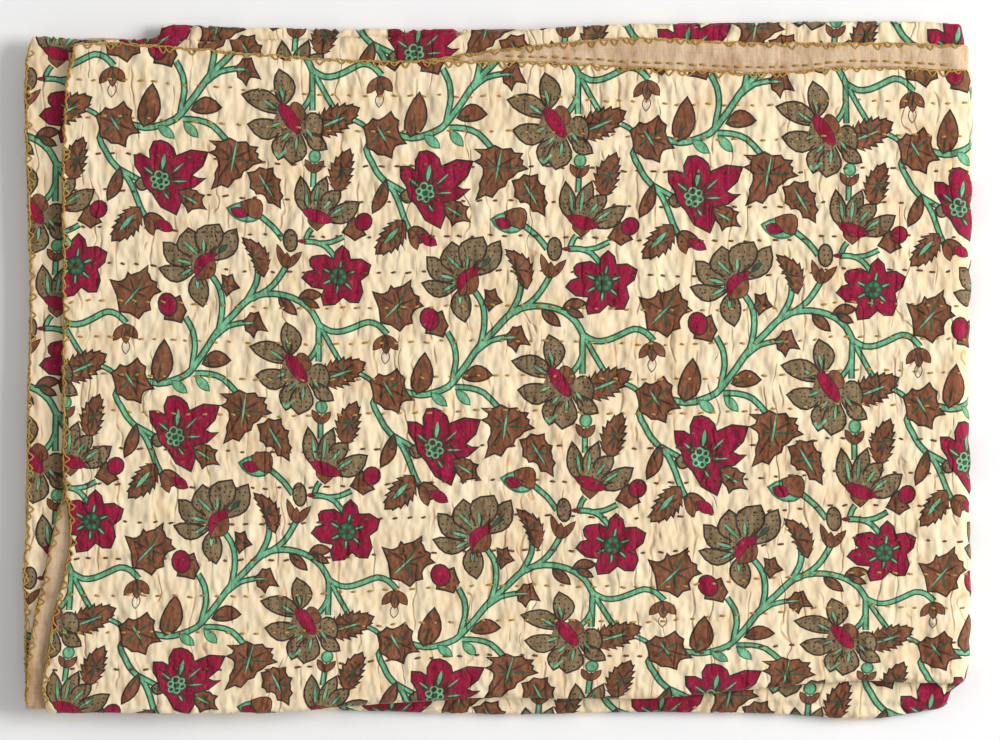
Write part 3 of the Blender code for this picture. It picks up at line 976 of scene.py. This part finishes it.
def printed_patch(layer, grid, shapes):
    """A layer's printed cotton, cut along the print's outlines so that each colour ends at a crisp edge."""
    u, v = grid
    verts = list(np.stack([u.ravel(), v.ravel()], axis=1))
    border = rim(*u.shape).tolist()
    rings = [border]
    for shape in shapes:
        rings.append(range(len(verts), len(verts) + len(shape.outline)))
        verts += list(shape.outline)
    edges = [edge for ring in rings for edge in zip(ring, [*ring[1:], ring[0]])]
    made = delaunay_2d_cdt([Vector(vert) for vert in verts], edges, [], 0, 1e-4, False)
    flat, faces = np.array([tuple(vert) for vert in made[0]]), np.array(made[2])
    centres = flat[faces].mean(axis=1)
    within = inside(np.array([verts[at] for at in border]), centres)
    faces, centres = faces[within], centres[within]
    inks = inked(centres, shapes)
    kept, faces = np.unique(faces, return_inverse=True)
    flat = flat[kept]
    points = lay(layer, flat[:, 0], flat[:, 1], lifted(layer, flat[:, 0], flat[:, 1], 1))
    codes = np.array([*(INK_NAMES.index(shape.ink) for shape in shapes), NO_INK])
    return Patch(points, faces.reshape(-1, 3), flat, codes[inks])


def plain_patch(layer, grid, side):
    u, v = grid
    points = lay(layer, u, v, lifted(layer, u, v, side)).reshape(-1, 3)
    faces = grid_faces(*u.shape)
    return Patch(points, faces, np.stack([u.ravel(), v.ravel()], axis=1), np.full(len(faces), NO_INK))


def facing_out(patch, layer, side):
    """The patch's faces turned so that they look away from the quilt's middle."""
    upward = layer.quarter.print_side * side * (1 - 2 * layer.lower)
    return patch.faces if upward > 0 else patch.faces[:, ::-1]


def cloth_object(name, patches, material):
    """One object from patches of (patch, layer, side), joined where they meet."""
    points = np.concatenate([patch.points for patch, _, _ in patches])
    keys = np.round(points / WELD).astype(np.int64)
    _, first, index = np.unique(keys, axis=0, return_index=True, return_inverse=True)
    index = index.reshape(-1)
    faces, places, inks, start = [], [], [], 0
    for number, (patch, layer, side) in enumerate(patches):
        turned_faces = facing_out(patch, layer, side)
        low, high = patch.flat.min(axis=0), patch.flat.max(axis=0)
        spread = (patch.flat - low) / (high - low) * (1 - 2 * UV_MARGIN) + UV_MARGIN
        uv = np.stack([spread[:, 0], (number + spread[:, 1]) / len(patches)], axis=1)
        joined = index[turned_faces + start]
        whole = (joined != np.roll(joined, 1, axis=1)).all(axis=1)
        faces.append(joined[whole])
        places.append(uv[turned_faces[whole]])
        inks.append(patch.inks[whole])
        start += len(patch.points)
    inks = np.concatenate(inks)
    mesh = bpy.data.meshes.new(name)
    mesh.from_pydata((points[first] * MM).tolist(), [], np.concatenate(faces).tolist())
    mesh.uv_layers.new(name="OFBake").data.foreach_set("uv", np.concatenate(places).ravel())
    colours = np.array([linear(colour) for colour in (*INKS.values(), GROUND)])
    attribute = mesh.attributes.new("print_colour", "FLOAT_COLOR", "FACE")
    attribute.data.foreach_set("color", colours[inks].ravel())
    masks = {f"{ink}_ink": inks == INK_NAMES.index(ink) for ink in ("olive", "crimson", "brown")}
    for label, mask in {"ink": inks != NO_INK, **masks}.items():
        mesh.attributes.new(label, "FLOAT", "FACE").data.foreach_set("value", mask.astype(float))
    mesh.shade_smooth()
    return finished_object(name, mesh, material)


def in_scene(name, data):
    obj = bpy.data.objects.new(name, data)
    bpy.context.scene.collection.objects.link(obj)
    return obj


def finished_object(name, mesh, material):
    mesh.update()
    mesh.materials.append(material)
    return in_scene(name, mesh)


# ---------------------------------------------------------------- materials

DOT_PITCH = 3.3  # mm between the dots on the olive petals


class Nodes:
    """Short calls to build a material's nodes."""

    def __init__(self, name):
        self.material = bpy.data.materials.new(name)
        self.material.use_nodes = True
        self.tree = self.material.node_tree
        self.shader = self.tree.nodes["Principled BSDF"]

    def put(self, socket, value):
        if isinstance(value, bpy.types.NodeSocket):
            self.tree.links.new(value, socket)
        else:
            socket.default_value = value

    def node(self, kind, settings=None, **inputs):
        made = self.tree.nodes.new(kind)
        for key, value in (settings or {}).items():
            setattr(made, key, value)
        for key, value in inputs.items():
            self.put(made.inputs[key.replace("_", " ")], value)
        return made

    def math(self, operation, first, second=0.0):
        made = self.node("ShaderNodeMath", {"operation": operation})
        self.put(made.inputs[0], first)
        self.put(made.inputs[1], second)
        return made.outputs[0]

    def times(self, first, second):
        return self.math("MULTIPLY", first, second)

    def mapped(self, scale, turn=(0.0, 0.0, 0.0)):
        """Object coordinates in mm, scaled."""
        place = self.node("ShaderNodeTexCoord").outputs["Object"]
        return self.node("ShaderNodeMapping", Vector=place, Scale=[s / MM for s in scale], Rotation=turn).outputs[0]

    def noise(self, scale, detail, roughness=0.5, turn=(0.0, 0.0, 0.0)):
        vector = self.mapped(scale, turn)
        made = self.node("ShaderNodeTexNoise", Vector=vector, Scale=1.0, Detail=detail, Roughness=roughness)
        return made.outputs["Fac"]

    def cells(self, across, along, *noise_settings):
        """Noise whose patches are this many mm across and along."""
        return self.noise((1 / across, 1 / along, 1 / across), *noise_settings)

    def ramp(self, value, low, high):
        """0 below low, 1 above high."""
        settings = {"interpolation_type": "SMOOTHSTEP"}
        return self.node("ShaderNodeMapRange", settings, Value=value, From_Min=low, From_Max=high).outputs[0]

    def mix(self, share, first, second, blend="MIX"):
        made = self.node("ShaderNodeMix", {"data_type": "RGBA", "blend_type": blend})
        for socket, value in ((0, share), (6, first), (7, second)):
            self.put(made.inputs[socket], value)
        return made.outputs[2]

    def attribute(self, name, output="Fac"):
        return self.node("ShaderNodeAttribute", {"attribute_name": name}).outputs[output]

    def inked(self, colour, share, mask, amount, tone):
        """The colour with an sRGB tone over a share of it, where the mesh attribute mask is 1."""
        share = self.times(self.times(share, self.attribute(mask)), amount)
        return self.mix(share, colour, linear(tone))

    def darkened(self, colour, share, amount, by):
        """The colour multiplied by a linear colour over a share of it."""
        return self.mix(self.times(share, amount), colour, (*by, 1.0), "MULTIPLY")

    def bump(self, *layers):
        """A normal from layers of (height, distance in mm, strength)."""
        normal = None
        for height, distance, strength in layers:
            made = self.node("ShaderNodeBump", Height=height, Distance=distance * MM, Strength=strength)
            if normal is not None:
                self.put(made.inputs["Normal"], normal)
            normal = made.outputs[0]
        return normal

    def finish(self, colour, normal, roughness, sheen):
        for name, value in (
            ("Base Color", colour), ("Normal", normal), ("Roughness", roughness), ("Sheen Weight", sheen),
            ("Sheen Roughness", 0.5), ("Specular IOR Level", 0.25),
        ):
            self.put(self.shader.inputs[name], value)
        return self.material


def weave(nodes, thread):
    """Height of a plain weave with uneven threads, thread mm apart."""
    return nodes.math("ADD", nodes.noise((1 / thread, 0.06, 0.3), 1.0), nodes.noise((0.06, 1 / thread, 0.3), 1.0))


def crease_lines(nodes, pitch, wander, long, width):
    """1 on soft broken lines that run front to back, pitch mm apart. They stray by wander mm, hold for about long mm
    and are width mm wide."""
    place = nodes.node("ShaderNodeSeparateXYZ", Vector=nodes.mapped((1.0, 1.0, 1.0))).outputs[0]
    stray = nodes.math("SUBTRACT", nodes.cells(24, 34, 2.0), 0.5)
    strayed = nodes.math("ADD", place, nodes.times(stray, 2 * wander))
    share = nodes.math("FRACT", nodes.math("DIVIDE", strayed, pitch))
    away = nodes.times(nodes.math("ABSOLUTE", nodes.math("SUBTRACT", share, 0.5)), pitch)
    thin = nodes.math("SUBTRACT", 1.0, nodes.ramp(away, 0.0, width))
    return nodes.times(thin, nodes.ramp(nodes.cells(7, long, 1.0), 0.47, 0.62))


def stained(nodes, colour, tint, amount):
    """The cloth's colour with the slow and the blotchy unevenness of washed cotton."""
    slow = nodes.ramp(nodes.cells(38, 38, 3.0), 0.42, 0.7)
    blotch = nodes.ramp(nodes.cells(8, 18, 4.0, 0.6), 0.44, 0.72)
    return nodes.darkened(colour, nodes.math("ADD", slow, nodes.times(blotch, 1.4)), amount, tint)


def printed_cotton():
    nodes = Nodes("printed_cotton")
    colour = nodes.attribute("print_colour", "Color")
    # Hand-block ink: brushy darker patches, and a little of the ground showing through.
    brush = nodes.ramp(nodes.noise((1 / 1.8, 1 / 3.6, 1 / 2.0), 3.0, 0.7), 0.44, 0.62)
    colour = nodes.inked(colour, brush, "ink", 0.38, (62, 44, 40))
    colour = nodes.inked(colour, nodes.ramp(nodes.cells(5, 7, 5.0, 0.75), 0.55, 0.8), "ink", 0.16, GROUND)
    # Broad dark strokes in the brown leaves.
    strokes = nodes.ramp(nodes.cells(2.6, 4.2, 3.0, 0.6), 0.46, 0.62)
    colour = nodes.inked(colour, strokes, "brown_ink", 0.5, (74, 56, 42))
    # Rows of dots on the olive petals.
    dotted = nodes.node(
        "ShaderNodeTexVoronoi", Vector=nodes.mapped((1 / DOT_PITCH, 1 / DOT_PITCH, 0.01)), Scale=1.0, Randomness=0.5
    )
    dots = nodes.math("SUBTRACT", 1.0, nodes.ramp(dotted.outputs["Distance"], 0.17, 0.27))
    colour = nodes.inked(colour, dots, "olive_ink", 1.0, (66, 52, 42))
    # Hatching on the crimson petals.
    hatch = nodes.ramp(nodes.noise((1 / 0.9, 1 / 2.4, 1.0), 2.0, 0.5, (0.0, 0.0, 0.5)), 0.46, 0.6)
    colour = nodes.inked(colour, hatch, "crimson_ink", 0.62, (104, 12, 48))
    colour = stained(nodes, colour, (0.84, 0.69, 0.56), 0.36)
    # Darker lines along the creases: partly the worn, stained fold lines of the cotton, partly painted shade in the
    # creases.
    fine_creases = nodes.times(crease_lines(nodes, 13.0, 9.0, 24.0, 1.6), 0.72)
    creases = nodes.math("MAXIMUM", crease_lines(nodes, 44.0, 19.0, 90.0, 1.5), fine_creases)
    colour = nodes.darkened(colour, creases, 0.6, (0.76, 0.56, 0.4))
    normal = nodes.bump(
        (nodes.cells(8, 15, 1.0), 3.9, 0.95), (nodes.math("SUBTRACT", 1.0, creases), 0.9, 0.9),
        (weave(nodes, 0.6), 0.12, 0.35),
    )
    return nodes.finish(colour, normal, 0.9, 0.12)


def plain_cotton():
    nodes = Nodes("plain_cotton")
    threads = weave(nodes, 0.38)
    colour = nodes.mix(nodes.ramp(threads, 0.7, 1.3), linear((212, 183, 149)), linear((225, 199, 167)))
    colour = stained(nodes, colour, (0.7, 0.59, 0.5), 0.62)
    # Darker bands where the cotton gathers: painted shade at the gathers.
    colour = nodes.darkened(colour, crease_lines(nodes, 26.0, 14.0, 16.0, 2.2), 0.5, (0.6, 0.46, 0.36))
    return nodes.finish(colour, nodes.bump((nodes.cells(6, 12, 2.0), 1.6, 0.7), (threads, 0.2, 0.5)), 0.92, 0.12)


def thread_material(name, colour, dark, roughness):
    """Twisted cotton thread."""
    nodes = Nodes(name)
    plies = nodes.cells(0.5, 0.5, 2.0)
    mixed = nodes.mix(nodes.ramp(plies, 0.4, 0.62), linear(dark), linear(colour))
    uneven = nodes.ramp(nodes.cells(18, 18, 1.0), 0.35, 0.65)
    mixed = nodes.mix(nodes.times(uneven, 0.3), mixed, linear(dark))
    return nodes.finish(mixed, nodes.bump((plies, 0.15, 0.8)), roughness, 0.1)


# ---------------------------------------------------------------- threads

PAST_FOLD = 14.0  # how far a row of stitches goes on round the right-hand fold
STITCHES_LEFT = 32  # of the middle, more than reach the hem
FROM_HEM = 4  # where a row starts
SIDES = 6  # of a thread
THREAD_TAPER = 0.35  # share of its radius that a thread keeps at its ends
HEM_PITCH, HEM_DEPTH, HEM_RADIUS = 7.4, 4.4, 0.6
# Points of a stitch: their share of its length, and of its slant.
ALONG_STITCH = np.array([0.0, 0.15, 0.5, 0.85, 1.0])
SLANT = np.array([-1.0, -0.7, 0.0, 0.7, 1.0])
# About where the corners at the left are.
FRONT_CORNER_X, BACK_CORNER_X, BACK_CORNER_Y = -310.0, np.array([-300.0]), np.array([215.0])
# Each hem's thread: (layer, seed, side), at the back and at the left.
BACK_HEMS = (("A", 71, 1), ("B", 72, -1))
LEFT_HEMS = (("A", 73, 1), ("B", 74, -1), ("C", 75, 1))


def thread_object(name, threads, material):
    """Round threads in one mesh, from (points along the thread in mm, radius)."""
    turn = (np.arange(SIDES) / SIDES * math.tau)[:, None, None]
    points, faces, start = [], [], 0
    for line, radius in threads:
        ahead = unit(np.gradient(line, axis=0))
        aside = unit(np.cross(ahead, [0.0, 0.0, 1.0]) + [1e-6, 0.0, 0.0])
        round_line = np.cos(turn) * aside + np.sin(turn) * np.cross(aside, ahead)
        taper = np.ones(len(line))
        taper[[0, -1]] = THREAD_TAPER
        points.append((line + round_line * (radius * taper)[:, None]).transpose(1, 0, 2).reshape(-1, 3))
        last = start + (len(line) - 1) * SIDES
        for base in range(start, last, SIDES):
            for side in range(SIDES):
                after = (side + 1) % SIDES
                faces.append((base + side, base + after, base + SIDES + after, base + SIDES + side))
        faces += [tuple(range(start + SIDES - 1, start - 1, -1)), tuple(range(last, last + SIDES))]
        start = last + SIDES
    mesh = bpy.data.meshes.new(name)
    mesh.from_pydata((np.concatenate(points) * MM).tolist(), [], faces)
    mesh.shade_smooth()
    return finished_object(name, mesh, material)


def over_surface(layer, u, v, above, side):
    """Points above mm over a layer's surface."""
    return lay(layer, u, v, lifted(layer, u, v, side) + side * above)


def stitches(layer, u, v, above, side=1):
    """Stitches along rows of points. above gives their height over the cloth at the ends, beside them and between."""
    end, near, middle = above
    heights = np.broadcast_to([end, near, middle, near, end], u.shape)
    return [(line, STITCH_RADIUS) for line in over_surface(layer, u, v, heights, side)]


def stitch_row(layer, row):
    """One row of running stitches on the top layer."""
    random = np.random.default_rng(40 + row)
    right = fold_axis(0.0) + PAST_FOLD
    starts = np.arange(stitch_start(row) - STITCHES_LEFT * STITCH_PITCH, right - STITCH_LENGTH, STITCH_PITCH)
    starts = starts + random.uniform(-1.3, 1.3, len(starts))
    lengths = STITCH_LENGTH * random.uniform(0.55, 1.25, len(starts))
    u = starts[:, None] + lengths[:, None] * ALONG_STITCH
    x = np.minimum(u, fold_axis(0.0))
    front, back = front_line(0.0, x), back_line(FIRST, 0.0, x)
    slant = random.uniform(-0.5, 0.5, (len(starts), 1)) * SLANT
    v = front + (back - front) * row / ROW_COUNT + random.uniform(-0.6, 0.6, (len(starts), 1)) + slant
    shown = u[:, 0] > left_line(FIRST, 0.0, v[:, 0], 0.5) + FROM_HEM
    return stitches(layer, u[shown], v[shown], (-0.35, 0.2, 0.45))


def running_stitches(rows, name, material):
    return thread_object(name, [thread for row in rows for thread in stitch_row(LAYERS["A"], row)], material)


def zigzag(length, seed):
    """(distance along a hem, distance in from it, height over the cloth) of an overcast thread."""
    random = np.random.default_rng(seed)
    count = int(length / HEM_PITCH)
    starts = (np.arange(count) + random.uniform(-0.33, 0.33, count)) * HEM_PITCH
    depths = HEM_DEPTH * random.uniform(0.25, 1.2, count)
    knots = [
        (start + along * HEM_PITCH, inward, above)
        for start, depth in zip(starts, depths)
        for along, inward, above in (
            (0.0, -0.1, -0.1), (0.22, 0.5 * depth, 0.45), (0.5, depth, 0.0), (0.78, 0.5 * depth, 0.45),
        )
    ]
    return smooth_through(knots, 2).T


def along_edge(length, seed):
    """The same for the strand that winds along the very edge."""
    random = np.random.default_rng(seed + 100)
    along = np.arange(0.0, length, HEM_PITCH / 3)
    inward = 0.5 + random.uniform(-0.5, 1.0, len(along))
    return smooth_through(np.stack([along, inward, 0.2 + 0.2 * np.sin(along)], axis=1), 2).T


def back_hem_thread(layer, seed, side):
    """Gold thread along the hem at the back of a layer, and on round the right-hand fold."""
    left = left_line(layer.quarter, layer.lower, BACK_CORNER_Y, 1.0)[0]
    for course in (zigzag, along_edge):
        along, inward, above = course(fold_axis(0.0) + fold_radius(layer) - left, seed)
        u = left + 1.0 + along
        v = back_line(layer.quarter, layer.lower, np.minimum(u, fold_axis(0.0))) - inward
        yield over_surface(layer, u, v, above, side), HEM_RADIUS


def left_hem_thread(layer, seed, side):
    """Gold thread along the left hem of a layer."""
    front = front_line(layer.lower, FRONT_CORNER_X)
    back = back_line(layer.quarter, layer.lower, BACK_CORNER_X)[0]
    for course in (zigzag, along_edge):
        along, inward, above = course(back - front, seed)
        v = front + 1.0 + along
        u = left_line(layer.quarter, layer.lower, v, (v - front) / (back - front)) + inward
        yield over_surface(layer, u, v, above, side), HEM_RADIUS


def strip_stitches(layer):
    """The row of running stitches on the tan strip, along the hem of the layer on top of it."""
    random = np.random.default_rng(90)
    starts = np.arange(STRIP_STITCHES_FROM, fold_axis(0.0) - 6.0, STRIP_STITCH_PITCH)
    u = (starts + random.uniform(-0.6, 0.6, len(starts)))[:, None] + STRIP_STITCH_LENGTH * ALONG_STITCH
    v = across_line("a_hem", u) + FROM_TOP_HEM + random.uniform(-0.4, 0.4, (len(starts), 1))
    return stitches(layer, u, v, (-0.3, 0.2, 0.4), -1)


def hem_threads(material):
    threads = []
    for hems, thread in ((BACK_HEMS, back_hem_thread), (LEFT_HEMS, left_hem_thread)):
        for name, seed, side in hems:
            threads += thread(LAYERS[name], seed, side)
    return thread_object("hem_threads", threads + strip_stitches(LAYERS["B"]), material)


# ---------------------------------------------------------------- pieces


def even(steps):
    return np.linspace(0.0, 1.0, steps + 1)


def row_shares(places):
    """Shares along a quarter with the same places in each gap between two rows of stitches."""
    return np.array([(row + place) / ROW_COUNT for row in range(ROW_COUNT) for place in places] + [1.0])


def shares(*spans):
    """Shares from spans of (end, steps), each as fine as its steps."""
    found, start = [], 0.0
    for end, steps in spans:
        found += list(np.linspace(start, end, steps, endpoint=False))
        start = end
    return np.array([*found, 1.0])


# Finer where the lower half's fold steps back at the left, and round the step at the right-hand fold.
STEPPED = ((0.12, 8), (0.17, 12), (0.94, 62), (1.0, 24))
FRONT_FINE = ((0.09, 24), (1.0, 50))
TOP_GAP = (0.0, 0.05, 0.16, 0.33, 0.5, 0.67, 0.84, 0.95)
# Strips that show below the top layer: (left, right, front, back), shift of the chart.
WEST_STRIP = ((-345.0, -285.0, -260.0, 240.0), (12, 78))
NORTH_STRIP = ((-290.0, 360.0, 200.0, 252.0), (-18, 104))
SOUTH_STRIP = ((-345.0, 360.0, -275.0, -205.0), (-44, 22))
WHOLE_BASE = (-350.0, 360.0, -260.0, 260.0)


def top_print():
    layer = LAYERS["A"]
    grid = layer_grid(layer, even(226), row_shares(TOP_GAP), 12, 12)
    box = (grid[0].min(), grid[0].max(), grid[1].min(), grid[1].max())
    return printed_patch(layer, grid, repeats_over(box, drifting=True)), layer, 1


def base_print():
    layer = LAYERS["H"]
    grid = layer_grid(layer, shares((0.94, 100), (1.0, 24)), even(80), 4, 8)
    return printed_patch(layer, grid, repeats_over(WHOLE_BASE)), layer, 1


def inner_print(name, strips, across, along):
    """A covered layer, with print only on the strips that show."""
    layer = LAYERS[name]
    shapes = [shape for box, shift in strips for shape in repeats_over(box, shift=shift)]
    grid = layer_grid(layer, across, along, 8, 8)
    return printed_patch(layer, grid, shapes), layer, 1


def plain_layer(name, side, across, along):
    """A layer's cotton without print: side is 1 for the printed cotton and -1 for the backing."""
    layer = LAYERS[name]
    return plain_patch(layer, layer_grid(layer, across, along, 8, 6), side), layer, side


def build_cloth():
    cotton, tan = printed_cotton(), plain_cotton()
    stepped = shares(*STEPPED)
    top = cloth_object("print_top", [top_print()], cotton)
    folds = [
        inner_print("C", (WEST_STRIP, NORTH_STRIP), even(90), even(60)),
        inner_print("E", (NORTH_STRIP, SOUTH_STRIP), stepped, shares(*FRONT_FINE)),
        *(plain_layer(name, 1, stepped, even(36)) for name in "DFBG"),
    ]
    folds = cloth_object("print_folds", folds, cotton)
    base = cloth_object("print_base", [base_print()], cotton)
    backings = [
        plain_layer("A", -1, even(64), even(36)),
        plain_layer("B", -1, even(300), shares((0.9, 34), (1.0, 22))),
        *(plain_layer(name, -1, stepped, even(36)) for name in "CDEFGH"),
    ]
    return top, folds, base, cloth_object("plain_backing", backings, tan)


# ---------------------------------------------------------------- stage

CAMERA_AWAY = 5.0  # m from the floor
FRAME_WIDE = 0.70  # m across the picture, on the packet's top
TOP_HEIGHT = 0.024
CAMERA_X = 0.00175
FILM = 36.0
FLOOR_GREY = 0.96
SKY_POWER = 0.48
KEY_PLACE, KEY_POWER, KEY_SIZE = (3.8, 0.6, 2.4), 203.0, 2.2


def stage():
    bpy.ops.mesh.primitive_plane_add(size=6.0)
    floor = bpy.context.object
    floor.name = "studio_floor"
    nodes = Nodes("studio_floor")
    nodes.shader.inputs["Base Color"].default_value = (FLOOR_GREY, FLOOR_GREY, FLOOR_GREY, 1.0)
    nodes.shader.inputs["Roughness"].default_value = 0.9
    floor.data.materials.append(nodes.material)
    floor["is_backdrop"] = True

    world = bpy.data.worlds.new("studio")
    world.use_nodes = True
    sky = world.node_tree.nodes["Background"].inputs
    sky["Color"].default_value, sky["Strength"].default_value = (1.0, 1.0, 1.0, 1.0), SKY_POWER
    bpy.context.scene.world = world

    light = bpy.data.lights.new("key", "AREA")
    light.energy, light.size = KEY_POWER, KEY_SIZE
    key = in_scene("key", light)
    key.location = KEY_PLACE
    key.rotation_euler = (-Vector(KEY_PLACE)).to_track_quat("-Z", "Y").to_euler()

    camera = bpy.data.cameras.new("camera")
    camera.sensor_width = FILM
    camera.lens = FILM * (CAMERA_AWAY - TOP_HEIGHT) / FRAME_WIDE
    camera.clip_start, camera.clip_end = 0.05, 20.0
    holder = in_scene("camera", camera)
    holder.location = (CAMERA_X, 0.0, CAMERA_AWAY)
    bpy.context.scene.camera = holder
    bpy.context.scene.view_settings.view_transform = "Standard"


def corners(box):
    return [list(map(float, corner)) for corner in box]


def main():
    cad_box = corners(CAD_BOX)
    top, folds, base, plain = build_cloth()
    brown = thread_material("brown_thread", (134, 88, 58), (84, 52, 36), 0.8)
    gold = thread_material("gold_thread", (214, 172, 84), (150, 112, 50), 0.6)
    brown_rows = [row for row in range(1, ROW_COUNT) if row not in OCHRE_ROWS]
    dark_stitches = running_stitches(brown_rows, "brown_stitches", brown)
    light_stitches = running_stitches(OCHRE_ROWS, "ochre_stitches", gold)
    hems = hem_threads(gold)

    for piece in (top, folds, base):
        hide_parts("face_cloth")
    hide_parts("backing_cloth")
    for piece in (top, folds, base, plain, dark_stitches, light_stitches, hems):
        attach(piece, "root")
    stage()
    {"cad": cad_box, "visual": corners(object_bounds())}


main()
